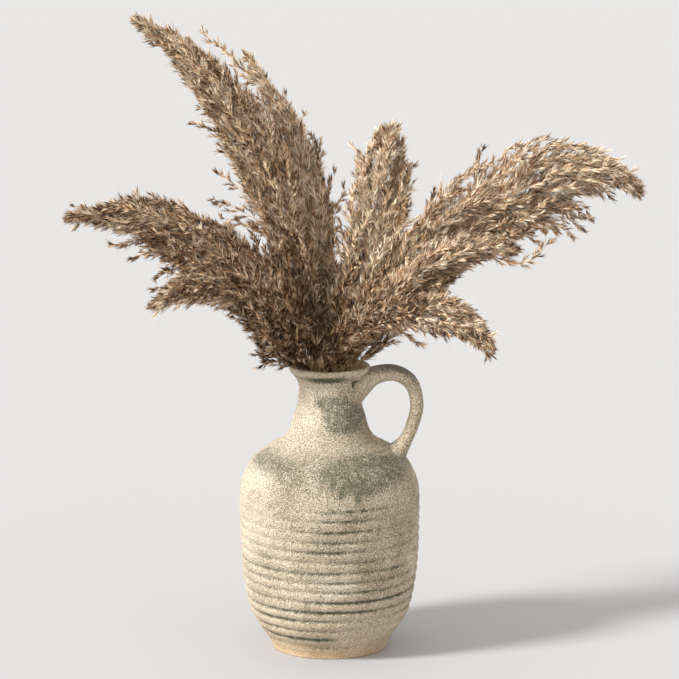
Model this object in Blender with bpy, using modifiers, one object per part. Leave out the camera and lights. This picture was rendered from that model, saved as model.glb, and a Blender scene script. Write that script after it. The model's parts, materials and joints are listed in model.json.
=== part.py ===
"""A stoneware flower vase with its bunch of dried reed plumes.

The vase is a thrown jug with a pulled loop handle. Eight reed stems stand in it, each a straight
stalk inside the jug and a feathery plume above the mouth. Metres, +Z up, with the origin at the
centre of the vase's flat foot. The handle is on the +X side and the front faces -Y.
"""

import math

import bmesh
import bpy
from mathutils import Vector

MM = 0.001

# The vase: a thrown wall of even thickness on a flat floor
WALL = 0.0055
TURN_STEPS = 40
OUTLINE_STEPS = 2
GAP = 0.0003

# Outer radius and height in mm at the turns of the outline, from the lip down to the foot's edge
OUTLINE_MM = (
    (33.4, 240.0),
    (33.6, 236.5),
    (29.2, 231.0),
    (26.0, 225.0),
    (25.6, 219.0),
    (27.0, 207.0),
    (30.2, 196.0),
    (33.4, 185.0),
    (40.5, 176.5),
    (52.5, 169.8),
    (63.0, 161.5),
    (70.5, 149.5),
    (74.4, 136.0),
    (75.0, 116.0),
    (74.2, 82.0),
    (71.6, 56.0),
    (66.8, 34.0),
    (60.6, 21.5),
    (53.6, 12.0),
    (49.4, 4.5),
    (48.0, 0.0),
)

# The handle: its centre line in mm as (x, z), and its thickness and width in mm along it
HANDLE_PATH_MM = ((21.0, 219.0), (37.0, 230.5), (53.0, 232.0), (66.0, 223.5), (70.8, 207.0),
                  (69.0, 190.0), (62.5, 175.0), (53.0, 163.0))
HANDLE_THICKNESS_MM = (22.0, 13.5, 11.5, 11.5, 11.0, 9.5, 8.5, 12.0)
HANDLE_WIDTH_MM = (30.0, 27.0, 25.0, 24.0, 22.5, 21.0, 22.0, 27.0)
HANDLE_STEPS = 3
HANDLE_SIDES = 16

# The stalks: they cross in a ring, as stems do in a hand-tied spiral, so that none meets another
RING_RADIUS = 0.0145
RING_HEIGHT = 0.221
LEAN = 0.24
SPIRAL = math.radians(34.0)
STALK_RADIUS = 0.0018
STALK_SIDES = 10
STALK_TOP = 0.227

# The plumes: closed forms of the dense middle of each feathery head
PLUME_STEPS = 18
PLUME_SIDES = 12
ROOT_SWELL = 0.16
TIP_SWELL = 0.12
HALF_DEPTH = 0.0145

# Each stem: the way it leans, in degrees from +X towards the back, then its plume's tip, how far
# the stalk's line and the tip's line pull the bend, the tip's pointing angle above +X, where along
# it the plume is fullest, from 0 to 1, and its half width there. Lengths are in metres.
STEMS = {
    "right": {"leans": 20.0, "tip": (0.262, 0.008, 0.379), "root_pull": 0.117, "tip_pull": 0.105,
              "points": -42.0, "fullest": 0.58, "half_width": 0.029},
    "centre": {"leans": 65.0, "tip": (0.050, 0.044, 0.440), "root_pull": 0.092,
               "tip_pull": 0.070, "points": 84.0, "fullest": 0.62, "half_width": 0.020},
    "back_left": {"leans": 110.0, "tip": (-0.076, 0.088, 0.495), "root_pull": 0.137,
                  "tip_pull": 0.090, "points": 123.0, "fullest": 0.55, "half_width": 0.021},
    "tall_left": {"leans": 155.0, "tip": (-0.167, 0.034, 0.527), "root_pull": 0.127,
                  "tip_pull": 0.126, "points": 152.0, "fullest": 0.55, "half_width": 0.026},
    "left": {"leans": 200.0, "tip": (-0.220, -0.014, 0.364), "root_pull": 0.094,
             "tip_pull": 0.110, "points": 190.0, "fullest": 0.55, "half_width": 0.026},
    "low_left": {"leans": 245.0, "tip": (-0.150, -0.060, 0.298), "root_pull": 0.067,
                 "tip_pull": 0.075, "points": 197.0, "fullest": 0.55, "half_width": 0.019},
    "low_right": {"leans": 290.0, "tip": (0.139, -0.074, 0.251), "root_pull": 0.072,
                  "tip_pull": 0.075, "points": -70.0, "fullest": 0.58, "half_width": 0.016},
    "curled_right": {"leans": 335.0, "tip": (0.176, -0.026, 0.334), "root_pull": 0.092,
                     "tip_pull": 0.080, "points": -28.0, "fullest": 0.60, "half_width": 0.018},
}

# Colours as (red, green, blue), with roughness
STONEWARE = ((0.62, 0.55, 0.42), 0.85)
STALK_STRAW = ((0.55, 0.41, 0.24), 0.70)
PLUME_BROWN = ((0.36, 0.24, 0.14), 0.95)

ACROSS = Vector((0.0, 1.0, 0.0))


def clear_scene():
    for thing in list(bpy.data.objects):
        bpy.data.objects.remove(thing, do_unlink=True)


def make_collection(name):
    collection = bpy.data.collections.new(name)
    bpy.context.scene.collection.children.link(collection)
    return collection


def make_material(name, look):
    colour, roughness = look
    material = bpy.data.materials.new(name)
    material.use_nodes = True
    shader = material.node_tree.nodes["Principled BSDF"]
    shader.inputs["Base Color"].default_value = (*colour, 1.0)
    shader.inputs["Roughness"].default_value = roughness
    shader.inputs["Metallic"].default_value = 0.0
    return material


def add_mesh(name, mesh, collection, material=None):
    piece = bpy.data.objects.new(name, mesh)
    collection.objects.link(piece)
    if material:
        mesh.materials.append(material)
    return piece


def through(knots, steps):
    """A smooth curve through the knots (Catmull-Rom), with steps points to each stretch."""
    points = []
    last = len(knots) - 1
    for k in range(last):
        before = knots[max(k - 1, 0)]
        here = knots[k]
        after = knots[k + 1]
        beyond = knots[min(k + 2, last)]
        for s in range(steps):
            t = s / steps
            points.append(tuple(
                0.5 * (2.0 * b + (c - a) * t + (2.0 * a - 5.0 * b + 4.0 * c - d) * t * t
                       + (3.0 * b - a - 3.0 * c + d) * t ** 3)
                for a, b, c, d in zip(before, here, after, beyond)))
    points.append(tuple(knots[last]))
    return points


def turned(name, profile, collection, material=None):
    """A profile of (radius, height) points, from the top down, turned about Z."""
    mesh = bpy.data.meshes.new(name)
    verts = [(r, 0.0, z) for r, z in profile]
    mesh.from_pydata(verts, [(k, k + 1) for k in range(len(verts) - 1)], [])
    piece = add_mesh(name, mesh, collection, material)
    screw = piece.modifiers.new("Turn", "SCREW")
    screw.steps = TURN_STEPS
    screw.render_steps = TURN_STEPS
    screw.use_merge_vertices = True
    screw.merge_threshold = 0.0001
    screw.use_smooth_shade = True
    return piece


def loft(name, rings, collection, material):
    """A closed tube through rings of points, all with the same count, and a flat cap at each end."""
    shape = bmesh.new()
    rows = [[shape.verts.new(p) for p in ring] for ring in rings]
    sides = len(rows[0])
    for lower, upper in zip(rows, rows[1:]):
        for k in range(sides):
            after = (k + 1) % sides
            shape.faces.new((lower[k], lower[after], upper[after], upper[k]))
    shape.faces.new(tuple(reversed(rows[0])))
    shape.faces.new(tuple(rows[-1]))
    bmesh.ops.recalc_face_normals(shape, faces=shape.faces)
    mesh = bpy.data.meshes.new(name)
    shape.to_mesh(mesh)
    shape.free()
    mesh.shade_smooth()
    mesh.set_sharp_from_angle(angle=math.radians(50.0))
    return add_mesh(name, mesh, collection, material)


def section(centre, along, half_height, half_width, sides, squareness=1.0):
    """An oval ring about a centre, upright to the line along it, with its width near the Y axis."""
    up = ACROSS.cross(along).normalized()
    wide = along.cross(up).normalized()
    ring = []
    for k in range(sides):
        angle = 2.0 * math.pi * k / sides
        rise = math.copysign(abs(math.cos(angle)) ** squareness, math.cos(angle))
        run = math.copysign(abs(math.sin(angle)) ** squareness, math.sin(angle))
        ring.append(centre + up * (half_height * rise) + wide * (half_width * run))
    return ring


def directions(points):
    """The way that a line of points runs at each of them."""
    last = len(points) - 1
    return [(points[min(k + 1, last)] - points[max(k - 1, 0)]).normalized()
            for k in range(last + 1)]


def make_vase_body(collection, material):
    outline = [(r * MM, z * MM) for r, z in through(OUTLINE_MM, OUTLINE_STEPS)]
    body = turned("vase_body", outline + [(0.0, 0.0)], collection, material)
    wall = body.modifiers.new("Wall", "SOLIDIFY")
    wall.thickness = WALL
    wall.offset = -1.0
    wall.use_even_offset = True
    return body


def make_wall_cutter(collection):
    """The vase's outer form as a full solid, a gap larger all round."""
    outline = [(r * MM + 2.0 * GAP, z * MM + GAP) for r, z in through(OUTLINE_MM, OUTLINE_STEPS)]
    closed = [(0.0, outline[0][1])] + outline + [(0.0, outline[-1][1] - GAP)]
    cutter = turned("wall_cutter", closed, collection)
    cutter.display_type = "WIRE"
    cutter.hide_render = True
    return cutter


def make_handle(collection, material, cutter):
    knots = [(x, z, t, w) for (x, z), t, w in
             zip(HANDLE_PATH_MM, HANDLE_THICKNESS_MM, HANDLE_WIDTH_MM)]
    stations = through(knots, HANDLE_STEPS)
    centres = [Vector((x * MM, 0.0, z * MM)) for x, z, _, _ in stations]
    rings = [section(centre, along, thick * MM / 2.0, wide * MM / 2.0, HANDLE_SIDES, 0.8)
             for centre, along, (_, _, thick, wide) in
             zip(centres, directions(centres), stations)]
    handle = loft("handle", rings, collection, material)
    fit = handle.modifiers.new("Fit to wall", "BOOLEAN")
    fit.operation = "DIFFERENCE"
    fit.solver = "EXACT"
    fit.object = cutter
    return handle


def stalk_line(leans):
    """A stalk's point on the ring in the neck, and its unit direction, up and out of the mouth."""
    out = math.radians(leans)
    place = out - SPIRAL
    on_ring = Vector((RING_RADIUS * math.cos(place), RING_RADIUS * math.sin(place), RING_HEIGHT))
    upward = Vector((LEAN * math.cos(out), LEAN * math.sin(out), 1.0)).normalized()
    return on_ring, upward


def at_height(on_ring, upward, height):
    return on_ring + upward * ((height - on_ring.z) / upward.z)


def make_stalk(name, leans, collection, material):
    on_ring, upward = stalk_line(leans)
    foot = at_height(on_ring, upward, WALL + GAP + STALK_RADIUS * LEAN)
    top = at_height(on_ring, upward, STALK_TOP)
    mesh = bpy.data.meshes.new(name)
    shape = bmesh.new()
    bmesh.ops.create_cone(shape, cap_ends=True, segments=STALK_SIDES, radius1=STALK_RADIUS,
                          radius2=STALK_RADIUS, depth=(top - foot).length)
    shape.to_mesh(mesh)
    shape.free()
    mesh.shade_smooth()
    mesh.set_sharp_from_angle(angle=math.radians(50.0))
    stalk = add_mesh(name, mesh, collection, material)
    stalk.location = (foot + top) / 2.0
    stalk.rotation_euler = upward.to_track_quat("Z", "Y").to_euler()
    return stalk


def plume_line(stem):
    """A plume's centre line: a Bezier curve that leaves along the stalk and ends at the tip."""
    on_ring, upward = stalk_line(stem["leans"])
    root = at_height(on_ring, upward, STALK_TOP) + upward * GAP
    tip = Vector(stem["tip"])
    angle = math.radians(stem["points"])
    tip_way = Vector((math.cos(angle), 0.0, math.sin(angle)))
    near = root + upward * stem["root_pull"]
    far = tip - tip_way * stem["tip_pull"]
    line = []
    for k in range(PLUME_STEPS + 1):
        t = k / PLUME_STEPS
        u = 1.0 - t
        line.append(root * u ** 3 + near * (3.0 * u * u * t) + far * (3.0 * u * t * t)
                    + tip * t ** 3)
    return line


def swell(t, fullest):
    """How full a plume is along its length: slim at the root, full past it, thin at the tip."""
    ends = ROOT_SWELL * (1.0 - t) + TIP_SWELL * t
    shift = math.log(0.5) / math.log(fullest)
    return ends + (1.0 - ends) * math.sin(math.pi * t ** shift)


def make_plume(name, stem, collection, material):
    line = plume_line(stem)
    rings = []
    for k, (centre, along) in enumerate(zip(line, directions(line))):
        fullness = swell(k / PLUME_STEPS, stem["fullest"])
        rings.append(section(centre, along, stem["half_width"] * fullness,
                             HALF_DEPTH * fullness, PLUME_SIDES))
    return loft(name, rings, collection, material)


def main():
    clear_scene()
    parts = make_collection("flower_vase")
    cutters = make_collection("cutters")
    make_vase_body(parts, make_material("vase_stoneware", STONEWARE))
    make_handle(parts, make_material("handle_stoneware", STONEWARE), make_wall_cutter(cutters))
    for name, stem in STEMS.items():
        make_stalk("stalk_" + name, stem["leans"], parts,
                   make_material("stalk_straw_" + name, STALK_STRAW))
        make_plume("plume_" + name, stem, parts,
                   make_material("plume_brown_" + name, PLUME_BROWN))


main()
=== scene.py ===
import json
import math

import bpy
import numpy as np
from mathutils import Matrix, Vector

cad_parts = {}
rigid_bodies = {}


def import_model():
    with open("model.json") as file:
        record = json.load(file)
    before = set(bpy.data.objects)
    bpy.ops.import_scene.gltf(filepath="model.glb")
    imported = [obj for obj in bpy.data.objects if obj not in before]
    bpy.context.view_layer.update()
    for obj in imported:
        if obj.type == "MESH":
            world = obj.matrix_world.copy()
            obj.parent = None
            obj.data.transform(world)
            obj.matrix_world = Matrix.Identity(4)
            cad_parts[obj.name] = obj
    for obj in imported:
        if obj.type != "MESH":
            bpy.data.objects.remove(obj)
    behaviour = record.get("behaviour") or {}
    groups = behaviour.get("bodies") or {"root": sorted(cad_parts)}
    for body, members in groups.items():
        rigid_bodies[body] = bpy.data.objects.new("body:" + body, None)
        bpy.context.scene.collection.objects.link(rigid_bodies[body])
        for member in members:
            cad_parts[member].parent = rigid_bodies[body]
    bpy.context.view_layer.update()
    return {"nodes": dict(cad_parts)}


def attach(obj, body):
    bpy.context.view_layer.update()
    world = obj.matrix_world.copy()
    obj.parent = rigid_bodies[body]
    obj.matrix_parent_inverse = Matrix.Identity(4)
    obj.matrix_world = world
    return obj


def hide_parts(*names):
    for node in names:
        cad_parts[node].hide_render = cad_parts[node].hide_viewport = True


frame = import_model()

NODES = frame["nodes"]

SEED = 20
TAU = 2 * math.pi
UP = np.array([0.0, 0.0, 1.0])
AWAY = np.array([0.0, 1.0, 0.0])
HALF_TURN = np.array([-1, -1, 1])

# ---------------------------------------------------------------- sizes, in metres

# The vase's mesh: columns round it, steps between its rows outside and inside, and the radius of its
# first and last rows, in the middle of the sole and of the inner floor
COLUMNS = 232
OUTER_STEP = 0.00085
INNER_STEP = 0.003
MIDDLE = 0.0005
# The sole as (radius, height), and the lip's roll as steps from the outer and the inner outline's top
SOLE = ((MIDDLE, 0.0006), (0.030, 0.0006), (0.0455, 0.0001))
LIP_ROLL = ((-0.0009, 0.0012), (-0.0028, 0.0015))
LIP_END = (0.0006, 0.0003)
# The inside: the least drop between two of its points, and the rounding where wall and floor meet
INNER_DROP = 0.0005
FLOOR_ROUNDING = 0.0015
FLOOR_EDGE = 0.002
# A slow swing of the wall's radius, as a share of it, and how fast it turns over with the height
WOBBLE = 0.0035
WOBBLE_TURNS = 26

# The throwing grooves. The clay between them stands out by the ridge's share of their depth. They
# fade out at the foot and at the shoulder: (height, fade). Each one's depth and stain vary round it
GROOVE_FIRST = 0.0107
GROOVE_PITCH = 0.00864
GROOVE_COUNT = 15
GROOVE_DEPTH = 0.0011
GROOVE_WIDTH = 0.0019
GROOVE_UNEVEN = 0.0003
GROOVE_WANDER = 0.00025
GROOVE_RIDGE = 0.25
GROOVES_FROM = (0.002, 0.006)
GROOVES_TO = (0.150, -0.02)
GROOVE_VARIES = 0.22
STAIN_WIDTH = 0.0020
STAIN = 0.30
STAIN_VARIES = 0.20

# Patches: x, height, half width, half height, strength. Smears of wash across the grooves
SMEARS = ((0.008, 0.114, 0.030, 0.020, 0.80), (0.008, 0.080, 0.030, 0.018, 0.55),
          (0.020, 0.050, 0.045, 0.010, 1.00), (-0.040, 0.036, 0.040, 0.014, 0.72),
          (-0.020, 0.019, 0.030, 0.007, 0.85), (-0.055, 0.075, 0.020, 0.025, 0.45),
          (0.055, 0.065, 0.020, 0.030, 0.40))
# The wash on the neck and the shoulder
WASH = ((0.002, 0.213, 0.017, 0.007, 1.20), (0.012, 0.199, 0.014, 0.010, 2.60),
        (-0.050, 0.165, 0.024, 0.010, 0.86), (0.010, 0.166, 0.028, 0.008, 0.62),
        (0.032, 0.158, 0.026, 0.012, 1.85), (0.024, 0.144, 0.0025, 0.009, 0.90),
        (0.010, 0.146, 0.002, 0.007, 0.6), (-0.010, 0.150, 0.040, 0.012, 0.30))
# The dark crack where the handle meets the neck
CRACKS = ((0.0212, 0.2292, 0.0027, 0.0010, 2.6), (0.0196, 0.2262, 0.0011, 0.0028, 2.6))
# How the patches are repeated on the back: sideways share, sideways shift, width share
SMEARS_BEHIND = (0.7, 0.0, 1.0)
WASH_BEHIND = (0.8, -0.006, 1.2)
# Thin wash all over and in a band on the shoulder, and stain in a band under the lip, most in front:
# each band is (height, half width)
WASH_ALL_OVER = 0.08
SHOULDER_WASH = 0.16
SHOULDER_BAND = (0.160, 0.014)
LIP_STAIN = 0.38
LIP_STAIN_IN_FRONT = 1.10
LIP_BAND = (0.2328, 0.0030)
LIP_FRONT = (-0.002, 0.020)
# Bare clay: at the foot, fading upwards, and on the sole and inside
BARE_SHARE = 0.30
BARE_FOOT = (0.003, 0.011)
BARE_FADE = (0, 0.05)
BARE_HIDDEN = 0.5

# The handle's centre line and section, in millimetres: x, z, thickness, width
HANDLE_MM = ((15.0, 214.0, 27.0, 30.0), (25.0, 222.5, 20.5, 28.5), (37.5, 231.0, 14.5, 27.0),
             (54.0, 233.2, 12.2, 25.0), (67.8, 224.7, 12.2, 24.0), (72.9, 207.0, 11.8, 22.5),
             (69.5, 190.0, 10.8, 21.0), (62.8, 174.5, 11.4, 23.0), (52.0, 160.0, 22.0, 31.0))
HANDLE_SIDES = 48
HANDLE_SQUARENESS = 0.80
HANDLE_UNEVEN = 0.02
CHANNEL_DEPTH = 0.0006
CHANNEL_SHARE = 0.45
WALL_MIDDLE = 0.0025
# The handle's wash, as (place along it, half width): on top, inside the loop, and at its lower end.
# The stain at its upper end also has its place across the strap
TOP_WASH = (0.40, 0.15)
LOOP_WASH = (0.72, 0.16)
END_WASH = (0.95, 0.05)
JOIN_STAIN = (0.035, 0.02)
JOIN_STAIN_ACROSS = (0.001, 0.004)
HANDLE_BARE = 0.08

# The stalks
STALK_ROWS = 120
STALK_SIDES = 12
STALK_JOINTS = 4
STALK_RADIUS = 0.0017
STALK_TAPER = 0.22
JOINT_WIDTH = 0.0016
JOINT_SWELL = 0.00038
SHEATH_SHARE = 0.8
SHEATH_STEP = 0.00008
CUT_END = 0.0005

# A plume's outline along its centre line, whose places run from 0 at the root to 1 at the tip. It is
# wide early on, swells at its root and narrows to its tip. Its shifts are given as (start, fade), and
# its sag as (middle, half width)
RING_POINTS = 12
LINE_STEPS = 200
PAST_STEPS = 40
PAST_FADE = 4
EARLY_SHARE = 0.88
EARLY_END = 0.22
EARLY_DEPTH = 0.6
TIP_END = 1.04
TIP_TAPER = 0.34
ROOT_FLUFF = 0.16
SHIFT_SPAN = (0.22, 0.35)
TIP_SHIFT_SPAN = (0.62, 0.3)
SAG_SPAN = (0.36, 0.20)

# The stem, its branches and the branches' twigs
STEM_END = 0.98
STEM_STEPS = 40
STEM_MARKS = 20
STEM_WIDTH = 0.0024
TIP_ROOM = 0.009
BRANCHES_PER_METRE = 350
BRANCHES_END = 0.93
BRANCH_STEPS = 9
BRANCH_WIDTH = 0.0007
GOLDEN_TURN = 2.39996
TURN_SPREAD = 0.35
SHORTEST_BRANCH = 0.006
FULL_REACH = 0.05
TWIG_SPACING = 0.0046
STRAND_TWIG_SPACING = 0.0058
STRAND_TWIG_SHARE = 0.66
TWIG_STEPS = 3
TWIG_WIDTH = 0.00035
TWIG_BEND = 0.15
TWIG_SAG = 0.12

# The spikelets and their twigs. Sizes run from the least to the most, and angles are in degrees as
# (mean, spread), with more on a loose strand and at a branch's outer end
SPIKELETS_PER_TWIG = 6
FIRST_SPIKELET = 0.22
SPIKELET_SIZE = (0.0060, 0.0098)
TWIG_ANGLE = (19, 7)
STRAND_TWIG_ANGLE = 8
SPIKELET_ANGLE = (16, 8)
OUTER_ANGLE = 8
BLADES = 4
BLADE_WIDTH = (0.00055, 0.00100)
BLADE_LOOSE = 0.14
BLADE_SHOULDER = 0.38
BLADE_FOLD = 0.25
BLADE_BOW = 0.10
HAIRS = 6
HAIR_WIDTH = 0.00036
HAIR_THINNER = 0.00014
HAIR_LOOSE = 0.28

# Shades, from 0 for near black to 1 for blond
STEM_SHADE = 0.45
STRAND_DARK = 0.10
BRANCH_DARK = 0.10
TWIG_DARK = 0.12
OUTER_DARK = 0.10
ROOT_DARK = 0.72
ROOT_DARK_END = 0.26
SPIKELET_LIGHTER = 0.04
BLADE_TIP_DARK = 0.32
HUSK_SHARE = 0.16
HUSK_SHADE = 0.10
HAIR_LIGHTER = 0.32
OUTER_HAIR_DARK = 0.28
BRANCH_VARIES = 0.11
TWIG_VARIES = 0.09
SPIKELET_VARIES = 0.23
BLADE_VARIES = 0.33
HAIR_VARIES = 0.25

# The mouth: feathers at its height and near it stay clear of its wall
CLEAR_OF_RIM = 0.2425
NEAR_MOUTH = 0.048
MOUTH_GAP = 0.0015

# Each plume: how much wider and deeper than its core it is, its shift to its side, how full it is,
# how much it thins out to its tip, its fluff at the root, the length of its branches and twigs,
# their droop, its shade, and its loose strands: place, angle from the stem, tilt, length, curl.
# Some also have their own seed, early width, taper, reach of the root's fluff (fluffy), shift at the
# tip, sag of the lower half, and how far their branches stop before the tip (short)
PLUMES = {
    "right": dict(
        seed=300, wide=1.38, deep=1.4, shift=0.20, tip_shift=-0.34, early=0.94, full=1.34, thin=0.25,
        root=0.011, reach=0.085, twig=0.016, droop=0.02, tone=0.77,
        strands=((0.505, -40, 2, 0.060, -4), (0.22, -22, -2, 0.074, -2), (0.30, -17, 3, 0.070, 0),
                 (0.36, -15, -3, 0.064, 2), (0.26, -24, 3, 0.064, -4), (0.62, 31, -4, 0.070, 24),
                 (0.58, 36, 4, 0.078, 28), (0.55, 38, -3, 0.078, 30), (0.52, 36, 5, 0.072, 30),
                 (0.72, 22, 3, 0.058, 18), (0.65, 31, 6, 0.062, 24), (0.57, 26, -6, 0.072, 22),
                 (0.61, 34, 1, 0.066, 26), (0.48, 34, -2, 0.080, 26), (0.46, 40, 4, 0.070, 24))),
    "centre": dict(
        wide=1.38, deep=1.4, shift=0.06, full=1.4, thin=0.1, taper=0.04,
        root=0.010, reach=0.070, twig=0.015, droop=0.0, tone=0.85,
        strands=((0.58, -22, 3, 0.066, -10), (0.51, 14, -3, 0.075, 10), (0.40, 18, 4, 0.070, 8),
                 (0.35, 18, 2, 0.078, 10), (0.24, -20, 2, 0.075, -8), (0.32, -22, -3, 0.062, -6),
                 (0.20, -24, -3, 0.070, 6))),
    "back_left": dict(
        wide=0.90, deep=1.2, shift=0.14, full=1.15, thin=0.80,
        root=0.009, reach=0.066, twig=0.012, droop=0.0, tone=0.84,
        strands=((0.82, -18, -1, 0.080, -6), (0.64, 6, 3, 0.052, 6), (0.58, 14, -4, 0.050, 6),
                 (0.48, 18, 4, 0.056, 10), (0.40, 24, -3, 0.055, 10), (0.34, 26, 3, 0.060, 8))),
    "tall_left": dict(
        wide=0.98, deep=1.4, shift=0.12, full=1.30, thin=0.15,
        root=0.010, reach=0.085, twig=0.015, droop=0.0, tone=0.69,
        strands=((0.52, -31, 5, 0.066, -18), (0.55, -22, -4, 0.060, -16), (0.33, -40, 3, 0.070, -20),
                 (0.31, -44, -3, 0.060, -20), (0.75, -13, -3, 0.055, -12), (0.44, -26, 6, 0.060, -16),
                 (0.36, -30, 5, 0.072, -16))),
    "left": dict(
        wide=1.02, deep=1.4, shift=-0.24, tip_shift=0.55, full=1.55, thin=0.2,
        root=0.018, reach=0.080, twig=0.016, droop=0.0, tone=0.51,
        strands=((0.63, -26, 3, 0.056, -12), (0.54, -31, -4, 0.062, -18), (0.45, -42, 4, 0.062, -26),
                 (0.80, 4, -3, 0.042, 2), (0.30, 22, 2, 0.055, 6), (0.42, -40, -2, 0.064, -20),
                 (0.26, 26, -2, 0.050, 6))),
    "low_left": dict(
        wide=1.32, deep=1.4, shift=0.62, tip_shift=0.35, sag=0.012, full=1.6, thin=0.2, fluffy=0.30,
        root=0.026, reach=0.060, twig=0.015, droop=-0.06, tone=0.50,
        strands=((0.72, -4, 3, 0.046, -4), (0.60, -6, -3, 0.050, -6), (0.62, 22, -4, 0.058, 10),
                 (0.45, 32, 3, 0.066, 10), (0.55, 34, -2, 0.060, 12), (0.14, -22, 2, 0.056, 4),
                 (0.22, -20, -2, 0.056, 2))),
    "low_right": dict(
        wide=1.05, deep=1.4, shift=-0.26, short=0.018, full=1.45, thin=0.3,
        root=0.018, reach=0.058, twig=0.012, droop=-0.02, tone=0.60,
        strands=((0.37, 44, 3, 0.044, 24), (0.42, 30, -3, 0.046, 20), (0.36, -20, 3, 0.050, -4),
                 (0.30, -24, -2, 0.050, -4))),
    "curled_right": dict(
        wide=0.95, deep=1.2, shift=0.34, short=0.026, full=1.3, thin=0.80, taper=0.50,
        root=0.008, reach=0.066, twig=0.012, droop=0.0, tone=0.64,
        strands=((0.75, 30, -4, 0.088, -215), (0.68, -6, -3, 0.062, 8), (0.55, 14, 3, 0.060, 10),
                 (0.50, 18, -3, 0.055, 8))),
}

# ---------------------------------------------------------------- colours, light and camera

# Clay from its dark grit to its pale slip, and reed from its dark husks to its hairs
CLAY_SHADES = [(0.400, (0.065, 0.051, 0.032)), (0.455, (0.250, 0.197, 0.126)),
               (0.50, (0.475, 0.385, 0.264)), (0.545, (0.622, 0.532, 0.406)),
               (0.605, (0.805, 0.740, 0.625))]
FEATHER_SHADES = [(0.0, (0.022, 0.009, 0.003)), (0.25, (0.178, 0.077, 0.026)),
                  (0.50, (0.565, 0.335, 0.170)), (0.75, (0.880, 0.640, 0.400)),
                  (1.0, (0.990, 0.880, 0.710))]
STRAW_SHADES = [(0.30, (0.30, 0.20, 0.10)), (0.55, (0.52, 0.38, 0.21)), (0.75, (0.66, 0.52, 0.32))]
STRAW_STREAK = (0.26, 0.16, 0.08)
STRAW_JOINT = (0.13, 0.075, 0.035)
SAGE = (0.080, 0.081, 0.047)
MOSS = (0.050, 0.053, 0.024)
BARE = (0.72, 0.54, 0.36)

FLOOR = (0.45, 0.45, 0.455)
FLOOR_HALF = 12.0
FLOOR_DROP = 0.0002
WORLD = (1.0, 0.980, 0.950)
WORLD_STRENGTH = 0.97
SUN_FROM = (-2.6, -1.25, 2.0)
SUN_SPREAD = 13
SUN_STRENGTH = 4.4

ELEVATION = math.radians(11.7)
TARGET = (0.0083, 0, 0.2613)
CAMERA_DISTANCE = 3.5
FRAME_WIDTH = 0.563
SENSOR = 36.0


# ---------------------------------------------------------------- numbers and lines

def bell(value, middle, width):
    """1 at the middle, falling off on both sides over a width."""
    return np.exp(-((value - middle) / width) ** 2)


def soft_step(value, start, width):
    """0 up to start, then rising to 1 over a width. With a negative width it falls to 0 at start."""
    return np.clip((value - start) / width, 0, 1)


def unit(v):
    """Vectors scaled to length 1."""
    return v / np.maximum(np.linalg.norm(v, axis=-1, keepdims=True), 1e-12)


def distances(line):
    """How far along a line each of its points is."""
    return np.concatenate([[0], np.cumsum(np.linalg.norm(np.diff(line, axis=0), axis=1))])


def smooth_line(knots, steps):
    """A Catmull-Rom line through knots of any width."""
    knots = np.asarray(knots, float)
    before = np.vstack([2 * knots[0] - knots[1], knots[:-1]])
    after = np.vstack([knots[1:], 2 * knots[-1] - knots[-2]])
    out = []
    for k in range(len(knots) - 1):
        a, b, c, d = before[k], knots[k], knots[k + 1], after[k + 1]
        for u in np.arange(steps) / steps:
            out.append(0.5 * (2 * b + (c - a) * u + (2 * a - 5 * b + 4 * c - d) * u * u
                              + (3 * b - a - 3 * c + d) * u ** 3))
    out.append(knots[-1])
    return np.array(out)


def even_line(line, step):
    """The same line with its points about a step apart."""
    lengths = distances(line)
    at = np.linspace(0, lengths[-1], max(2, int(round(lengths[-1] / step)) + 1))
    return np.stack([np.interp(at, lengths, line[:, k]) for k in range(line.shape[1])], 1)


def waves(rng, angle, size, count=6):
    """A smooth random line round the vase."""
    out = np.zeros_like(angle)
    for k in range(1, count + 1):
        out += rng.normal() * np.cos(k * angle + rng.uniform(0, TAU)) / math.sqrt(k)
    return out * size / math.sqrt(count) * 1.6


def frames(line):
    """Directions along a line that lies in an upright plane, and at a right angle to it there."""
    along = unit(np.gradient(line, axis=0))
    return along, unit(np.cross(AWAY, along))


def across_any(rng, direction):
    """A random direction at a right angle to each direction."""
    return unit(np.cross(direction, rng.normal(size=direction.shape)))


# ---------------------------------------------------------------- meshes

def mesh_object(name, points, faces, material, smooth=True, attributes=None):
    """A mesh from numpy points and faces, with one float attribute for each entry of attributes."""
    mesh = bpy.data.meshes.new(name)
    faces = np.asarray(faces)
    corners = faces.shape[1]
    mesh.vertices.add(len(points))
    mesh.vertices.foreach_set("co", np.asarray(points, np.float32).ravel())
    mesh.loops.add(faces.size)
    mesh.loops.foreach_set("vertex_index", faces.astype(np.int32).ravel())
    mesh.polygons.add(len(faces))
    mesh.polygons.foreach_set("loop_start", np.arange(len(faces), dtype=np.int32) * corners)
    mesh.polygons.foreach_set("loop_total", np.full(len(faces), corners, np.int32))
    mesh.polygons.foreach_set("use_smooth", np.full(len(faces), smooth))
    for key, values in (attributes or {}).items():
        layer = mesh.attributes.new(key, "FLOAT", "POINT")
        layer.data.foreach_set("value", np.asarray(values, np.float32))
    mesh.materials.append(material)
    mesh.update()
    mesh.validate()
    piece = bpy.data.objects.new(name, mesh)
    bpy.context.scene.collection.objects.link(piece)
    return piece


def place(piece, body, slot, *nodes):
    """The piece rides on a body and its CAD nodes are hidden. The slot is not used."""
    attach(piece, body)
    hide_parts(*nodes)


def grid_faces(rows, columns):
    """Quads of a grid of rows by columns points, closed round its columns."""
    r, c = np.meshgrid(np.arange(rows - 1), np.arange(columns), indexing="ij")
    n = (c + 1) % columns
    quads = np.stack([r * columns + c, r * columns + n, (r + 1) * columns + n, (r + 1) * columns + c], -1)
    return quads.reshape(-1, 4)


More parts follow.
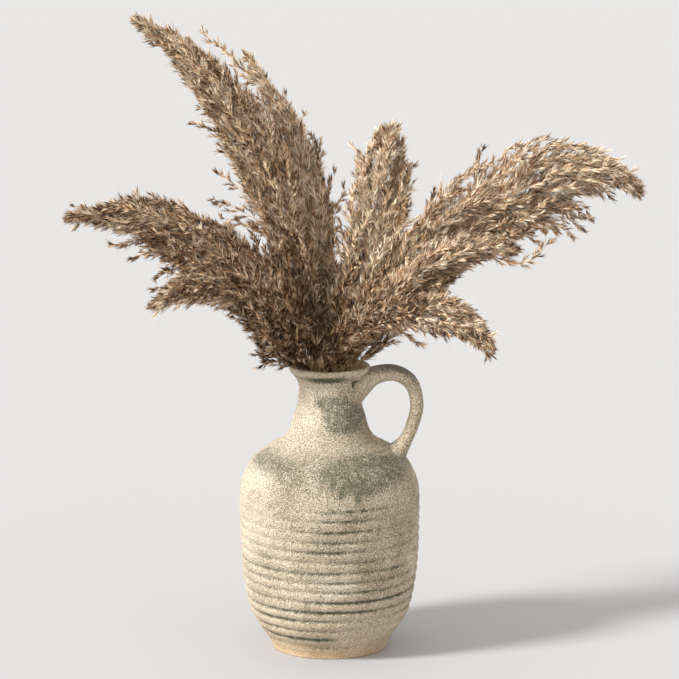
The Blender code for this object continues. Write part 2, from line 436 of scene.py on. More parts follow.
def node_points(name):
    """The different points of a CAD node, and the index of each of its vertices among them."""
    vertices = NODES[name].data.vertices
    co = np.zeros(len(vertices) * 3)
    vertices.foreach_get("co", co)
    points, index = np.unique(np.round(co.reshape(-1, 3), 6), axis=0, return_inverse=True)
    return points, index.ravel()


def node_edges(name, index):
    """The CAD node's edges, as pairs of its different points."""
    for edge in NODES[name].data.edges:
        yield tuple(int(index[v]) for v in edge.vertices)


# ---------------------------------------------------------------- node trees

def new_material(name, roughness, specular):
    """A material with its node tree and its shader."""
    material = bpy.data.materials.new(name)
    material.use_nodes = True
    tree = material.node_tree
    shader = tree.nodes["Principled BSDF"]
    shader.inputs["Roughness"].default_value = roughness
    shader.inputs["Specular IOR Level"].default_value = specular
    return material, tree, shader


def put(tree, value, socket):
    """Links a socket, or sets a number or colour."""
    if isinstance(value, bpy.types.NodeSocket):
        tree.links.new(value, socket)
    else:
        socket.default_value = value


def noise(tree, where, scale, detail=3.0, roughness=0.55):
    """Noise in object space, its middle at 0.5."""
    node = tree.nodes.new("ShaderNodeTexNoise")
    node.inputs["Scale"].default_value = scale
    node.inputs["Detail"].default_value = detail
    node.inputs["Roughness"].default_value = roughness
    tree.links.new(where, node.inputs["Vector"])
    return node.outputs["Fac"]


def place_of(tree, scale=(1, 1, 1)):
    """Object coordinates, stretched."""
    coordinates = tree.nodes.new("ShaderNodeTexCoord")
    mapping = tree.nodes.new("ShaderNodeMapping")
    mapping.inputs["Scale"].default_value = scale
    tree.links.new(coordinates.outputs["Object"], mapping.inputs["Vector"])
    return mapping.outputs["Vector"]


def attribute(tree, name):
    """A float attribute of the mesh."""
    node = tree.nodes.new("ShaderNodeAttribute")
    node.attribute_name = name
    return node.outputs["Fac"]


def math_node(tree, operation, a, b):
    """Arithmetic on two values."""
    node = tree.nodes.new("ShaderNodeMath")
    node.operation = operation
    put(tree, a, node.inputs[0])
    put(tree, b, node.inputs[1])
    return node.outputs["Value"]


def add(tree, a, b):
    """Two values added."""
    return math_node(tree, "ADD", a, b)


def times(tree, a, b):
    """Two values multiplied."""
    return math_node(tree, "MULTIPLY", a, b)


def span(tree, value, low, high, to_low=0.0, to_high=1.0):
    """A value's range from low to high, moved to another range and clamped there."""
    node = tree.nodes.new("ShaderNodeMapRange")
    put(tree, value, node.inputs["Value"])
    node.inputs["From Min"].default_value = low
    node.inputs["From Max"].default_value = high
    node.inputs["To Min"].default_value = to_low
    node.inputs["To Max"].default_value = to_high
    return node.outputs["Result"]


def blend(tree, amount, a, b, mode="MIX"):
    """Two colours mixed. A Mix node's colour sockets are its inputs 6 and 7 and its output 2."""
    node = tree.nodes.new("ShaderNodeMix")
    node.data_type = "RGBA"
    node.blend_type = mode
    put(tree, amount, node.inputs[0])
    put(tree, a, node.inputs[6])
    put(tree, b, node.inputs[7])
    return node.outputs[2]


def ramp(tree, value, stops):
    """A colour for each part of a value's range."""
    node = tree.nodes.new("ShaderNodeValToRGB")
    elements = node.color_ramp.elements
    while len(elements) < len(stops):
        elements.new(0.5)
    for element, (position, colour) in zip(elements, stops):
        element.position = position
        element.color = (*colour, 1)
    put(tree, value, node.inputs["Fac"])
    return node.outputs["Color"]


def bump(tree, shader, height, distance, strength):
    """Relief from a height."""
    node = tree.nodes.new("ShaderNodeBump")
    node.inputs["Strength"].default_value = strength
    node.inputs["Distance"].default_value = distance
    tree.links.new(height, node.inputs["Height"])
    tree.links.new(node.outputs["Normal"], shader.inputs["Normal"])


# ---------------------------------------------------------------- materials

def stoneware_material():
    """Sandy unglazed stoneware: pale slip over dark grit, with a wash in the grooves and in patches."""
    material, tree, shader = new_material("stoneware_clay", 0.85, 0.25)
    here = place_of(tree)
    cloud = noise(tree, here, 24, 4, 0.6)
    middle = noise(tree, here, 190, 4, 0.65)
    grain = noise(tree, here, 1050, 3, 0.8)
    fine = noise(tree, here, 2000, 2, 0.7)
    grit = add(tree, times(tree, grain, 0.65), times(tree, fine, 0.35))
    grit = add(tree, grit, span(tree, cloud, 0.3, 0.7, -0.035, 0.035))
    colour = ramp(tree, grit, CLAY_SHADES)
    bare = attribute(tree, "bare")
    colour = blend(tree, bare, colour, blend(tree, 0.75, (*BARE, 1), colour, "SOFT_LIGHT"))
    rough = span(tree, grit, 0.36, 0.64, 0.42, -0.42)
    patchy = span(tree, middle, 0.3, 0.7, -0.30, 0.30)
    wash = attribute(tree, "wash")
    patch = add(tree, add(tree, wash, patchy), times(tree, rough, 1.5))
    patch = times(tree, span(tree, patch, 0.34, 1.05), span(tree, wash, 0.0, 0.12))
    colour = blend(tree, times(tree, patch, 0.88), colour, (*SAGE, 1))
    groove = attribute(tree, "groove")
    dark = add(tree, add(tree, groove, patchy), rough)
    dark = times(tree, span(tree, dark, 0.36, 1.00), span(tree, groove, 0.04, 0.25))
    colour = blend(tree, times(tree, dark, 0.92), colour, (*MOSS, 1))
    tree.links.new(colour, shader.inputs["Base Color"])
    put(tree, span(tree, grit, 0.35, 0.65, 0.74, 0.95), shader.inputs["Roughness"])
    height = add(tree, grit, times(tree, middle, 0.8))
    bump(tree, shader, height, 0.0011, 0.8)
    return material


def straw_material():
    """Dry reed culm: pale straw with long fibres, browner at its joints."""
    material, tree, shader = new_material("reed_culm", 0.55, 0.4)
    fibre = noise(tree, place_of(tree, (1, 1, 0.06)), 1500, 3, 0.6)
    stretch = noise(tree, place_of(tree, (1, 1, 0.4)), 60)
    colour = ramp(tree, fibre, STRAW_SHADES)
    colour = blend(tree, span(tree, stretch, 0.45, 0.75, 0, 0.5), colour, (*STRAW_STREAK, 1))
    colour = blend(tree, attribute(tree, "joint"), colour, (*STRAW_JOINT, 1))
    tree.links.new(colour, shader.inputs["Base Color"])
    put(tree, span(tree, fibre, 0.3, 0.7, 0.42, 0.68), shader.inputs["Roughness"])
    bump(tree, shader, fibre, 0.0003, 0.6)
    return material


def feather_material():
    """Reed spikelets: each blade and hair has its own shade, from near black to blond."""
    material, tree, shader = new_material("reed_feather", 0.62, 0.3)
    streak = noise(tree, place_of(tree), 700, 2, 0.6)
    shade = add(tree, attribute(tree, "shade"), span(tree, streak, 0.3, 0.7, -0.07, 0.07))
    colour = ramp(tree, shade, FEATHER_SHADES)
    tree.links.new(colour, shader.inputs["Base Color"])
    put(tree, span(tree, streak, 0.3, 0.7, 0.5, 0.75), shader.inputs["Roughness"])
    bump(tree, shader, streak, 0.0002, 0.4)
    return material


# ---------------------------------------------------------------- vase

def blob(points, x, z, wide, tall):
    """A soft patch on the front of the vase, 1 in its middle and 0 outside it."""
    d = ((points[:, 0] - x) / wide) ** 2 + ((points[:, 2] - z) / tall) ** 2
    return np.exp(-d) * (points[:, 1] < 0)


def patches(points, table, aside=1.0, shift=0.0, wider=1.0):
    """All patches of a table on the front of the vase."""
    return sum(strength * blob(points, x * aside + shift, z, wide * wider, tall)
               for x, z, wide, tall, strength in table)


def vase_outlines():
    """The vase's outer outline, from the foot up to the lip, and its inner one, from the lip down
    to the floor, as (radius, height). They are the CAD vase's column of points at -X."""
    points, index = node_points("vase_body")
    joined = {}
    for a, b in node_edges("vase_body", index):
        if a != b and all(points[p][0] < 1e-4 and abs(points[p][1]) < 1e-4 for p in (a, b)):
            joined.setdefault(a, set()).add(b)
            joined.setdefault(b, set()).add(a)
    chain = [min((p for p in joined if len(joined[p]) == 1), key=lambda p: points[p][2])]
    while True:
        following = [p for p in joined[chain[-1]] if p not in chain]
        if not following:
            break
        chain.append(following[0])
    outline = np.array([(np.hypot(*points[p][:2]), points[p][2]) for p in chain])
    top = int(np.argmax(outline[:, 1]))
    inner = [outline[top + 1]]
    for point in outline[top + 2:-2]:
        if point[1] < inner[-1][1] - INNER_DROP:
            inner.append(point)
    floor = outline[-1][1]
    inner = np.array(inner)
    inner = inner[inner[:, 1] > floor + FLOOR_ROUNDING]
    return outline[:top], np.vstack([inner, [inner[-1][0] - FLOOR_EDGE, floor], [MIDDLE, floor]])


def vase_rows():
    """The vase's rows of points, from the sole's middle up the wall, over the lip and down to the
    inner floor's middle, as (radius, height), and which of them are on the outer wall."""
    outer, inner = vase_outlines()
    lip = np.vstack([outer[-1] + np.array(LIP_ROLL), inner[0] + np.array(LIP_END)])
    sole = even_line(np.array(SOLE), INNER_STEP)[:-1]
    wall = even_line(smooth_line(np.vstack([outer, lip]), 8), OUTER_STEP)
    hollow = even_line(smooth_line(inner[:-2], 4), INNER_STEP)[1:]
    rows = np.vstack([sole, wall, hollow, inner[-2:]])
    number = np.arange(len(rows))
    top = int(np.argmax(rows[:, 1]))
    return rows, (number >= len(sole)) & (number <= top)


def turned(radius, height, angle):
    """Points of a turned shape from its rows' radii and heights."""
    return np.stack([radius * np.cos(angle), radius * np.sin(angle), height], -1).reshape(-1, 3)


def throwing_grooves(rng, rows, outside, height, angle, smear):
    """How deep each point is cut, 1 in a groove's middle, and how stained it is. The first and the
    last grooves are shallower."""
    cut = np.zeros_like(height)
    stain = np.zeros_like(height)
    for k in range(GROOVE_COUNT):
        level = GROOVE_FIRST + k * GROOVE_PITCH + rng.normal(0, GROOVE_UNEVEN)
        level = level + waves(rng, angle, GROOVE_WANDER)
        ends = min(1.0, 0.45 + 0.3 * k, 0.35 + 0.2 * (GROOVE_COUNT - 1 - k))
        deep = ends * np.clip(1 + waves(rng, angle, GROOVE_VARIES), 0.4, 1.5)
        nearest = np.where(outside, np.abs(rows[:, 1] - level.mean()), np.inf).argmin()
        dirt = np.clip(STAIN + waves(rng, angle, STAIN_VARIES) + smear[nearest], 0.0, 1.2)
        cut += bell(height, level, GROOVE_WIDTH) * deep
        stain = np.maximum(stain, bell(height, level, STAIN_WIDTH) * dirt)
    return cut, stain


def make_vase(clay):
    """The jug: thrown outline, throwing grooves cut round the belly, rolled lip, hollow inside."""
    rng = np.random.default_rng(SEED)
    rows, outside = vase_rows()
    angle = np.arange(COLUMNS) * TAU / COLUMNS
    radius = np.repeat(rows[:, :1], COLUMNS, 1)
    height = np.repeat(rows[:, 1:], COLUMNS, 1)
    even = turned(radius, height, angle)
    smear = patches(even, SMEARS) + patches(even * HALF_TURN, SMEARS, *SMEARS_BEHIND)
    cut, stain = throwing_grooves(rng, rows, outside, height, angle, smear.reshape(radius.shape))
    belly = outside[:, None]
    wobble = 1 + WOBBLE * (waves(rng, angle, 1.0, 3)[None, :] * np.sin(height * WOBBLE_TURNS) * belly)
    push = -(cut - GROOVE_RIDGE) * GROOVE_DEPTH * belly
    push = push * soft_step(height, *GROOVES_FROM) * soft_step(height, *GROOVES_TO)
    along = np.gradient(rows, axis=0)
    normal = unit(np.stack([along[:, 1], -along[:, 0]], 1))
    points = turned(radius * wobble + push * normal[:, :1], height + push * normal[:, 1:], angle)
    points[:, 2] = np.maximum(points[:, 2], 0)

    level = np.repeat(rows[:, 1], COLUMNS)
    shown = np.repeat(outside, COLUMNS)
    wash = patches(points, WASH) + patches(points * HALF_TURN, WASH, *WASH_BEHIND)
    wash += SHOULDER_WASH * bell(level, *SHOULDER_BAND) + WASH_ALL_OVER
    under_lip = LIP_STAIN + LIP_STAIN_IN_FRONT * bell(points[:, 0], *LIP_FRONT)
    under_lip = bell(level, *LIP_BAND) * under_lip
    stain = np.maximum(np.maximum(stain.ravel(), under_lip), patches(points, CRACKS)) * shown
    bare = (1 - soft_step(level, *BARE_FOOT)) * BARE_SHARE + BARE_SHARE * (1 - soft_step(level, *BARE_FADE))
    piece = mesh_object("vase_body_thrown", points, grid_faces(len(rows), COLUMNS)[:, ::-1], clay,
                        attributes={"groove": stain, "wash": np.clip(wash, 0, 1) * shown,
                                    "bare": np.clip(bare + BARE_HIDDEN * ~shown, 0, 1)})
    place(piece, "vase", "stoneware", "vase_body")


def keep_out_of_hollow(points):
    """Points that would stand inside the vase are moved out to the middle of its wall."""
    outer, _ = vase_outlines()
    slope = np.gradient(outer, axis=0)
    middle = outer + unit(np.stack([-slope[:, 1], slope[:, 0]], 1)) * WALL_MIDDLE
    inside = np.interp(points[..., 2], middle[:, 1], middle[:, 0])
    away = np.hypot(points[..., 0], points[..., 1])
    points[..., :2] *= (np.maximum(away, inside) / away)[..., None]
    return points


def make_handle(clay):
    """The pulled strap, oval in section with a shallow channel along its outer face, and flared
    where it is luted to the neck and the shoulder."""
    rng = np.random.default_rng(SEED + 1)
    stations = smooth_line(np.array(HANDLE_MM) / 1000, 14)
    count = len(stations)
    centre = np.stack([stations[:, 0], np.zeros(count), stations[:, 1]], 1)
    _, across = frames(centre)
    turn = np.arange(HANDLE_SIDES) * TAU / HANDLE_SIDES
    half_thick = stations[:, 2:3] / 2
    half_wide = stations[:, 3:4] / 2
    c, s = np.cos(turn), np.sin(turn)
    u = np.sign(c) * np.abs(c) ** HANDLE_SQUARENESS * half_thick
    v = np.sign(s) * np.abs(s) ** HANDLE_SQUARENESS * half_wide
    u = u - CHANNEL_DEPTH * bell(v, 0, half_wide * CHANNEL_SHARE) * (c > 0)
    u = u * (1 + HANDLE_UNEVEN * waves(rng, np.linspace(0, 5, count), 1.0, 4)[:, None])
    points = centre[:, None] - across[:, None] * u[..., None] + AWAY * v[..., None]
    points = keep_out_of_hollow(points)

    at = np.linspace(0, 1, count)[:, None]
    outer_face = np.clip(c, 0, 1)[None, :]
    inner_face = np.clip(-c, 0, 1)[None, :]
    wash = outer_face ** 0.7 * (0.14 + 1.25 * bell(at, *TOP_WASH))
    wash = wash + 0.6 * inner_face * bell(at, *LOOP_WASH) + 0.6 * bell(at, *END_WASH)
    groove = 0.9 * bell(at, *JOIN_STAIN) * bell(v, *JOIN_STAIN_ACROSS)
    piece = mesh_object("handle_pulled", points.reshape(-1, 3), grid_faces(count, HANDLE_SIDES), clay,
                        attributes={"groove": groove.ravel(), "wash": wash.ravel(),
                                    "bare": np.full(count * HANDLE_SIDES, HANDLE_BARE)})
    place(piece, "vase", "stoneware", "handle")


# ---------------------------------------------------------------- stalks

def stalk_ends(name):
    """The middle of a stalk's foot and of its top."""
    points, _ = node_points("stalk_" + name)
    low, high = points[:, 2].min(), points[:, 2].max()
    foot = points[points[:, 2] < low + 0.002].mean(0)
    top = points[points[:, 2] > high - 0.002].mean(0)
    return foot, top


def end_caps(rows, sides):
    """Triangles that close both ends of a tube, to two points that come after its own."""
    k = np.arange(sides)
    n = (k + 1) % sides
    last = (rows - 1) * sides
    return np.vstack([np.stack([n, k, np.full_like(k, rows * sides)], 1),
                      np.stack([last + k, last + n, np.full_like(k, rows * sides + 1)], 1)])


def make_stalk(name, number, straw):
    """A reed culm: jointed, a little thinner to the top, cut at its foot."""
    rng = np.random.default_rng(SEED + 40 + number)
    foot, top = stalk_ends(name)
    length = np.linalg.norm(top - foot)
    along = unit(top - foot)
    side = unit(np.cross(along, AWAY))
    other = np.cross(along, side)
    at = np.linspace(0, 1, STALK_ROWS)
    joints = (np.arange(STALK_JOINTS) + rng.uniform(0.35, 0.65)) / STALK_JOINTS
    ring = sum(bell((at - j) * length, 0, JOINT_WIDTH) for j in joints)
    sheath = sum(np.clip((at - j) * STALK_JOINTS, 0, 1) * (at > j) * (at < j + SHEATH_SHARE / STALK_JOINTS)
                 for j in joints)
    radius = STALK_RADIUS * (1 - STALK_TAPER * at) + JOINT_SWELL * ring - SHEATH_STEP * sheath
    turn = np.arange(STALK_SIDES) * TAU / STALK_SIDES
    round_it = side * np.cos(turn)[:, None] + other * np.sin(turn)[:, None]
    points = (foot + along * (at * length)[:, None])[:, None] + round_it[None] * radius[:, None, None]
    quads = grid_faces(STALK_ROWS, STALK_SIDES)
    faces = np.vstack([quads[:, [0, 1, 2]], quads[:, [0, 2, 3]], end_caps(STALK_ROWS, STALK_SIDES)])
    points = np.vstack([points.reshape(-1, 3), foot + along * CUT_END, top])
    joint = np.repeat(np.clip(ring * 0.9, 0, 1), STALK_SIDES)
    piece = mesh_object("culm_" + name, points, faces, straw,
                        attributes={"joint": np.concatenate([joint, [0.6, 0.2]])})
    place(piece, "stem_" + name, "straw", "stalk_" + name)


# ---------------------------------------------------------------- the plumes' branches

def plume_rings(name):
    """The CAD plume's rings from its root to its tip: centres, half widths and half depths."""
    points, index = node_points("plume_" + name)
    neighbours = [set() for _ in points]
    for a, b in node_edges("plume_" + name, index):
        neighbours[a].add(b)
        neighbours[b].add(a)
    _, top = stalk_ends(name)
    ring = list(np.argsort(np.linalg.norm(points - top, axis=1))[:RING_POINTS])
    seen, rings = set(), []
    while ring:
        rings.append(points[ring])
        seen.update(ring)
        ring = list({n for p in ring for n in neighbours[p]} - seen)
    centres = np.array([r.mean(0) for r in rings])
    along, across = frames(centres)
    wide = np.array([np.abs((r - c) @ s).max() for r, c, s in zip(rings, centres, across)])
    deep = np.array([np.abs((r - c) @ np.cross(a, s)).max()
                     for r, c, a, s in zip(rings, centres, along, across)])
    return centres, wide, deep


def plume_line(name, look):
    """The plume's length, and its centre line with its directions and its half sizes, in fine
    steps and carried on past its tip."""
    centres, wide, deep = plume_rings(name)
    line = smooth_line(np.column_stack([centres, wide, deep]), 10)
    steps = distances(line[:, :3])
    t = np.linspace(0, 1, LINE_STEPS)
    values = np.stack([np.interp(t * steps[-1], steps, line[:, k]) for k in range(5)], 1)
    gap = t[1]
    past = np.arange(1, PAST_STEPS + 1) * gap
    end = values[-1] + np.outer(past / gap, values[-1] - values[-2])
    end[:, 3:] = values[-1, 3:] * np.exp(-past * PAST_FADE)[:, None]
    values = np.vstack([values, end])
    t = np.concatenate([t, 1 + past])
    along, across = frames(values[:, :3])

    narrow = soft_step(t, TIP_END, -look.get("taper", TIP_TAPER)) ** 0.75
    early = (values[:, 3].max() * look.get("early", EARLY_SHARE)
             * soft_step(t, 0, EARLY_END) ** 0.7 * soft_step(t, 1, EARLY_END - 1) ** 0.6)
    fluff = look["root"] * bell(t, 0, look.get("fluffy", ROOT_FLUFF))
    values[:, 3] = np.maximum(values[:, 3], early) * look["wide"] * narrow + fluff
    values[:, 4] = np.maximum(values[:, 4], early * EARLY_DEPTH) * look["deep"] * narrow + fluff
    shift = look["shift"] * soft_step(t, *SHIFT_SPAN)
    shift = shift + look.get("tip_shift", 0) * soft_step(t, *TIP_SHIFT_SPAN)
    shift = shift * values[:, 3] - look.get("sag", 0) * bell(t, *SAG_SPAN)
    values[:, :3] += across * shift[:, None]
    table = np.column_stack([values[:, :3], along, across, np.cross(along, across), values[:, 3:]])
    return {"t": t, "length": steps[-1], "table": table}


def at_line(line, t):
    """Centre, direction, side, depth direction, half width and half depth at t."""
    table = line["table"]
    flat = np.asarray(t).ravel()
    out = np.stack([np.interp(flat, line["t"], table[:, k]) for k in range(table.shape[1])], 1)
    out = out.reshape(*np.shape(t), -1)
    return out[..., 0:3], out[..., 3:6], out[..., 6:9], out[..., 9:12], out[..., 12:13], out[..., 13:14]


def grow_branches(rng, line, look):
    """Branches that leave the stem one after another and run on inside the plume's outline."""
    count = int(line["length"] * BRANCHES_PER_METRE * look["full"])
    start = ((np.arange(count) + rng.random(count)) / count) ** 1.05 * BRANCHES_END
    turn = np.arange(count) * GOLDEN_TURN + rng.normal(0, TURN_SPREAD, count)
    longest = 0.50 + 0.50 * np.sin(math.pi * np.clip(start + 0.12, 0, 1) ** 0.8)
    reach = look["reach"] * longest * rng.uniform(0.65, 1.2, count)
    room = (1 - start) * line["length"] * rng.uniform(0.7, 1.0, count) - look.get("short", TIP_ROOM)
    reach = np.minimum(reach, room)
    kept = (rng.random(count) > look["thin"] * start ** 1.5) & (reach > SHORTEST_BRANCH)
    start, turn, reach, count = start[kept], turn[kept], reach[kept], int(kept.sum())
    out = np.sqrt(rng.uniform(0.10, 1.0, count))
    s = np.linspace(0, 1, BRANCH_STEPS)
    t = start[:, None] + s * (reach / line["length"])[:, None]
    centre, along, side, depth, wide, deep = at_line(line, t)
    rho = out[:, None] * (1 - (1 - s) ** 1.8)
    angle = turn[:, None] + s * rng.normal(0, TURN_SPREAD, count)[:, None]
    path = centre + side * wide * (rho * np.cos(angle))[..., None]
    path = path + depth * deep * (rho * np.sin(angle))[..., None]
    level = np.linalg.norm(along[..., :2], axis=-1)
    path = path - UP * (look["droop"] * reach[:, None] * s ** 2 * level)[..., None]
    return path, reach


def grow_strands(line, look):
    """Branches that stand away from the plume, each from its place, angle, tilt, length and curl."""
    paths, reaches = [], []
    s = np.linspace(0, 1, BRANCH_STEPS)
    for start, lean, tilt, length, curl in look["strands"]:
        centre, along, side, depth, _, _ = (v[0] for v in at_line(line, np.array([start])))
        bend = np.radians(lean + curl * s ** 2)
        step = along * np.cos(bend)[:, None] + side * np.sin(bend)[:, None]
        step = step + depth * math.tan(math.radians(tilt))
        step = step * length / (BRANCH_STEPS - 1)
        paths.append(centre + np.vstack([np.zeros(3), np.cumsum(step[:-1], axis=0)]))
        reaches.append(length)
    return np.array(paths).reshape(-1, BRANCH_STEPS, 3), np.array(reaches)


def grow_twigs(rng, path, reach, loose, look):
    """Twigs along each branch: the branch's number (owner) and the place on it (s), the twig's
    root, way and length, and its branch's direction there (tangent)."""
    spacing = np.where(loose, STRAND_TWIG_SPACING, TWIG_SPACING)
    per_branch = np.maximum(3, (reach / spacing).astype(int))
    owner = np.repeat(np.arange(len(path)), per_branch)
    order = np.arange(len(owner)) - np.repeat(np.cumsum(per_branch) - per_branch, per_branch)
    s = (order + rng.uniform(0.3, 0.9, len(owner))) / per_branch[owner]
    s = 0.10 + 0.90 * s
    at = np.clip(s, 0, 1) * (BRANCH_STEPS - 1)
    k = np.minimum(at.astype(int), BRANCH_STEPS - 2)
    part = (at - k)[:, None]
    root = path[owner, k] * (1 - part) + path[owner, k + 1] * part
    tangent = unit(path[owner, k + 1] - path[owner, k])
    length = look["twig"] * np.where(loose, STRAND_TWIG_SHARE, 1.0)[owner] * (1 - 0.62 * s ** 1.2)
    length = length * rng.uniform(0.65, 1.25, len(s)) * np.clip(reach[owner] / FULL_REACH, 0.6, 1.1)
    spread = rng.normal(*TWIG_ANGLE, len(s)) * (1 - 0.3 * s) + STRAND_TWIG_ANGLE * loose[owner]
    spread = np.radians(spread)[:, None]
    way = unit(tangent * np.cos(spread) + across_any(rng, tangent) * np.sin(spread))
    return {"owner": owner, "s": s, "root": root, "way": way, "length": length, "tangent": tangent}


def along_twigs(twigs, u):
    """Points at the places u of each twig, which bends to its branch's direction and sags."""
    u = u[None, :, None]
    length = twigs["length"][:, None, None]
    bent = twigs["way"][:, None] * u + twigs["tangent"][:, None] * TWIG_BEND * u ** 2
    return twigs["root"][:, None] + length * bent - UP * TWIG_SAG * length * u ** 2


# ---------------------------------------------------------------- the plumes' spikelets

def grow_spikelets(rng, line, twigs, tone):
    """Spikelets along each twig: base, aim, size, shade, and the twig's place on its branch (s).
    They are darker near the stem's root."""
    base = along_twigs(twigs, np.linspace(FIRST_SPIKELET, 1.0, SPIKELETS_PER_TWIG)).reshape(-1, 3)
    aim = np.repeat(twigs["way"], SPIKELETS_PER_TWIG, 0)
    s = np.repeat(twigs["s"], SPIKELETS_PER_TWIG)
    opening = np.radians(rng.normal(*SPIKELET_ANGLE, len(base)) + OUTER_ANGLE * s)[:, None]
    aim = unit(aim * np.cos(opening) + across_any(rng, aim) * np.sin(opening))
    size = rng.uniform(*SPIKELET_SIZE, len(base)) * (1 - 0.25 * s)
    marks = at_line(line, np.linspace(0, 1, STEM_MARKS * 3)[::3])[0]
    from_root = np.linalg.norm(base[:, None] - marks[None], axis=2).argmin(1) / STEM_MARKS
    twig_shade = tone[twigs["owner"]] - OUTER_DARK * twigs["s"]
    twig_shade = twig_shade + rng.normal(0, TWIG_VARIES, len(twig_shade))
    shade = SPIKELET_LIGHTER + np.repeat(twig_shade, SPIKELETS_PER_TWIG)
    shade = shade + rng.normal(0, SPIKELET_VARIES, len(base))
    shade = shade - ROOT_DARK * bell(from_root, 0, ROOT_DARK_END)
    return {"base": base, "aim": aim, "size": size, "shade": shade, "s": s}


def several(rng, spikelets, count, looseness):
    """Each spikelet's values, count times over, with its aims loosely spread."""
    out = {key: np.repeat(values, count, 0) for key, values in spikelets.items()}
    out["aim"] = unit(out["aim"] + looseness * rng.normal(size=out["aim"].shape))
    return out


def blade_values(rng, spikelets):
    """Blades for the spikelets. Some are dark husks."""
    out = several(rng, spikelets, BLADES, BLADE_LOOSE)
    count = len(out["base"])
    out["size"] = out["size"] * rng.uniform(0.75, 1.3, count)
    out["shade"] = out["shade"] + rng.normal(0, BLADE_VARIES, count)
    out["shade"] = np.where(rng.random(count) < HUSK_SHARE, HUSK_SHADE, out["shade"])
    return out


def hair_values(rng, spikelets):
    """Silky hairs for the spikelets: lighter than the blades, shorter and darker at a branch's end."""
    out = several(rng, spikelets, HAIRS, HAIR_LOOSE)
    count = len(out["base"])
    spikelet_aim = np.repeat(spikelets["aim"], HAIRS, 0)
    shorter = 1 - 0.5 * soft_step(out["s"], 0.5, 0.5)
    out["size"] = out["size"] * rng.uniform(0.7, 1.3, count) * shorter
    out["base"] = out["base"] + spikelet_aim * out["size"][:, None] * rng.uniform(0, 0.4, (count, 1))
    out["shade"] = out["shade"] + HAIR_LIGHTER + rng.normal(0, HAIR_VARIES, count)
    out["shade"] = out["shade"] - OUTER_HAIR_DARK * soft_step(out["s"], 0.6, 0.4)
    return out


def ribbons(rng, path, width, shade):
    """Thin crossed strips along paths, as points, triangles and a shade for each point."""
    count, steps, _ = path.shape
    tangent = unit(np.gradient(path, axis=1))
    side = unit(np.cross(tangent, rng.normal(size=(count, 1, 3))))
    taper = np.linspace(1, 0.25, steps)[None, :, None]
    points, faces = [], []
    k = np.arange(steps - 1)
    for flat in (side, np.cross(tangent, side)):
        offset = flat * taper * width / 2
        first = len(points) * count * steps + (np.arange(count) * steps)[:, None] + k
        second = first + count * steps
        points += [(path - offset).reshape(-1, 3), (path + offset).reshape(-1, 3)]
        faces.append(np.stack([first, first + 1, second], -1).reshape(-1, 3))
        faces.append(np.stack([second, first + 1, second + 1], -1).reshape(-1, 3))
    return np.vstack(points), np.vstack(faces), np.tile(np.repeat(shade, steps), 4)


def blades(rng, leaves):
    """Slender folded leaves, each with a base, two shoulders and a darker tip."""
    base, aim, length = leaves["base"], leaves["aim"], leaves["size"][:, None]
    width = rng.uniform(*BLADE_WIDTH, len(base))[:, None]
    roll = across_any(rng, aim)
    bow = np.cross(aim, roll)
    middle = base + aim * length * BLADE_SHOULDER + bow * width * BLADE_FOLD
    tip = base + aim * length - bow * length * rng.uniform(-BLADE_BOW, BLADE_BOW, (len(base), 1))
    points = np.stack([base, middle - roll * width / 2, tip, middle + roll * width / 2], 1)
    first = np.arange(len(base))[:, None] * 4
    faces = np.concatenate([first + [0, 1, 2], first + [0, 2, 3]])
    shade = leaves["shade"]
    shades = np.stack([shade, shade, shade - BLADE_TIP_DARK, shade], 1)
    return points.reshape(-1, 3), faces, shades.ravel()


def hairs(rng, silk):
    """Silky hairs, one triangle each."""
    base, aim = silk["base"], silk["aim"]
    width = HAIR_WIDTH - HAIR_THINNER * silk["s"]
    roll = across_any(rng, aim) * width[:, None] / 2
    points = np.stack([base - roll, base + roll, base + aim * silk["size"][:, None]], 1)
    faces = np.arange(len(base))[:, None] * 3 + np.arange(3)
    return points.reshape(-1, 3), faces, np.repeat(silk["shade"], 3)


def joined_parts(parts):
    """Several (points, faces, shades) as one."""
    total, points, faces, shades = 0, [], [], []
    for p, f, s in parts:
        points.append(p)
        faces.append(f + total)
        shades.append(s)
        total += len(p)
    return np.vstack(points), np.vstack(faces), np.concatenate(shades)


def keep_in_mouth(points):
    """Points at the height of the neck and lip are drawn in, clear of the wall."""
    _, inner = vase_outlines()
    order = np.argsort(inner[:, 1])
    clear = np.interp(points[:, 2], inner[order, 1], inner[order, 0]) - MOUTH_GAP
    radius = np.hypot(points[:, 0], points[:, 1])
    low = (points[:, 2] < CLEAR_OF_RIM) & (radius < NEAR_MOUTH)
    scale = np.where(low & (radius > clear), clear / np.maximum(radius, 1e-9), 1.0)
    points[:, :2] *= scale[:, None]
    return points


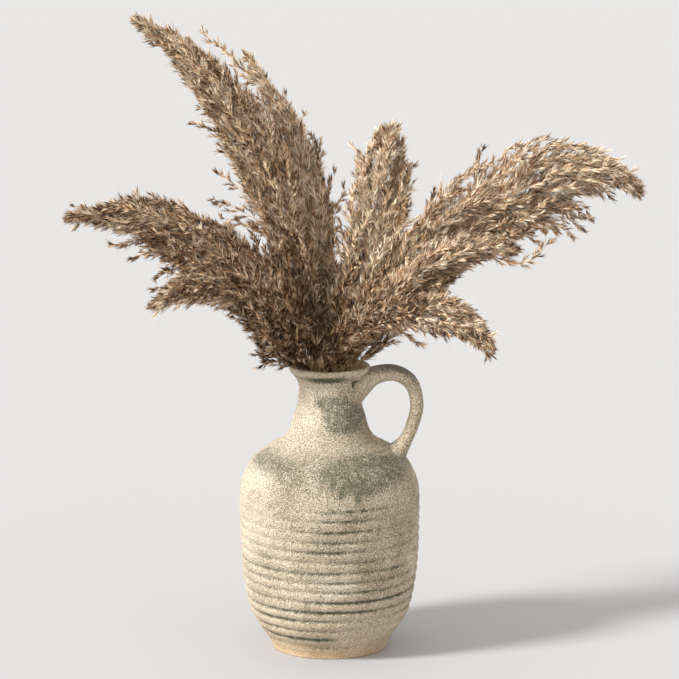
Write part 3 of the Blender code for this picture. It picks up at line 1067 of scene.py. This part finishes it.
def make_plume(name, number, feather):
    """A reed head: stem, branches, twigs, and on each twig spikelets of narrow blades and silky hairs."""
    look = PLUMES[name]
    rng = np.random.default_rng(look.get("seed", SEED) + number)
    line = plume_line(name, look)
    path, reach = grow_branches(rng, line, look)
    strands, strand_reach = grow_strands(line, look)
    path = np.concatenate([path, strands])
    reach = np.concatenate([reach, strand_reach])
    loose = np.arange(len(path)) >= len(path) - len(strands)
    varied = rng.normal(0, BRANCH_VARIES, len(path)) * np.where(loose, 0.3, 1.0)
    tone = look["tone"] + varied - STRAND_DARK * loose
    twigs = grow_twigs(rng, path, reach, loose, look)
    spikelets = grow_spikelets(rng, line, twigs, tone)
    leaves = blade_values(rng, spikelets)
    silk = hair_values(rng, spikelets)
    stem_end = STEM_END - look.get("short", TIP_ROOM) / line["length"]
    stem = at_line(line, np.linspace(0, stem_end, STEM_STEPS))[0][None]
    twig_paths = along_twigs(twigs, np.linspace(0, 1, TWIG_STEPS))
    points, faces, shade = joined_parts([
        ribbons(rng, stem, STEM_WIDTH, np.array([STEM_SHADE])),
        ribbons(rng, path, BRANCH_WIDTH, tone - BRANCH_DARK),
        ribbons(rng, twig_paths, TWIG_WIDTH, tone[twigs["owner"]] - TWIG_DARK),
        blades(rng, leaves),
        hairs(rng, silk)])
    piece = mesh_object("feathers_" + name, keep_in_mouth(points), faces, feather, smooth=False,
                        attributes={"shade": np.clip(shade, 0, 1)})
    place(piece, "stem_" + name, "plume", "plume_" + name)


# ---------------------------------------------------------------- stage

def make_stage():
    """A plain pale floor."""
    material, _, shader = new_material("floor_paint", 0.7, 0.2)
    shader.inputs["Base Color"].default_value = (*FLOOR, 1)
    corners = np.array([(-1, -1, 0), (1, -1, 0), (1, 1, 0), (-1, 1, 0)])
    points = corners * FLOOR_HALF - UP * FLOOR_DROP
    mesh_object("floor", points, [[0, 1, 2, 3]], material)


def make_world():
    """Even light from all round, a little warm."""
    world = bpy.data.worlds.new("studio")
    world.use_nodes = True
    background = world.node_tree.nodes["Background"]
    background.inputs["Color"].default_value = (*WORLD, 1)
    background.inputs["Strength"].default_value = WORLD_STRENGTH
    bpy.context.scene.world = world


def make_sun():
    """One large soft lamp, far away, above on the left and a little in front."""
    lamp = bpy.data.lights.new("key", "SUN")
    lamp.angle = math.radians(SUN_SPREAD)
    lamp.energy = SUN_STRENGTH
    holder = bpy.data.objects.new("key", lamp)
    holder.rotation_mode = "QUATERNION"
    holder.rotation_quaternion = (-Vector(SUN_FROM)).to_track_quat("-Z", "Y")
    bpy.context.scene.collection.objects.link(holder)


def make_camera():
    """A long lens, a little above the object, level with its front."""
    data = bpy.data.cameras.new("camera")
    data.sensor_width = SENSOR
    data.lens = SENSOR * CAMERA_DISTANCE / FRAME_WIDTH
    data.clip_end = 100
    camera = bpy.data.objects.new("camera", data)
    back = Vector((0, -math.cos(ELEVATION), math.sin(ELEVATION)))
    camera.location = Vector(TARGET) + back * CAMERA_DISTANCE
    camera.rotation_euler = (math.pi / 2 - ELEVATION, 0, 0)
    bpy.context.scene.collection.objects.link(camera)
    bpy.context.scene.camera = camera


bpy.context.scene.view_settings.view_transform = "Standard"
for leftover in [o for o in bpy.data.objects if o.name in ("Cube", "Light", "Camera")]:
    bpy.data.objects.remove(leftover)
clay = stoneware_material()
straw = straw_material()
feather = feather_material()
make_vase(clay)
make_handle(clay)
for number, name in enumerate(PLUMES):
    make_stalk(name, number, straw)
    make_plume(name, number, feather)
make_stage()
make_world()
make_sun()
make_camera()
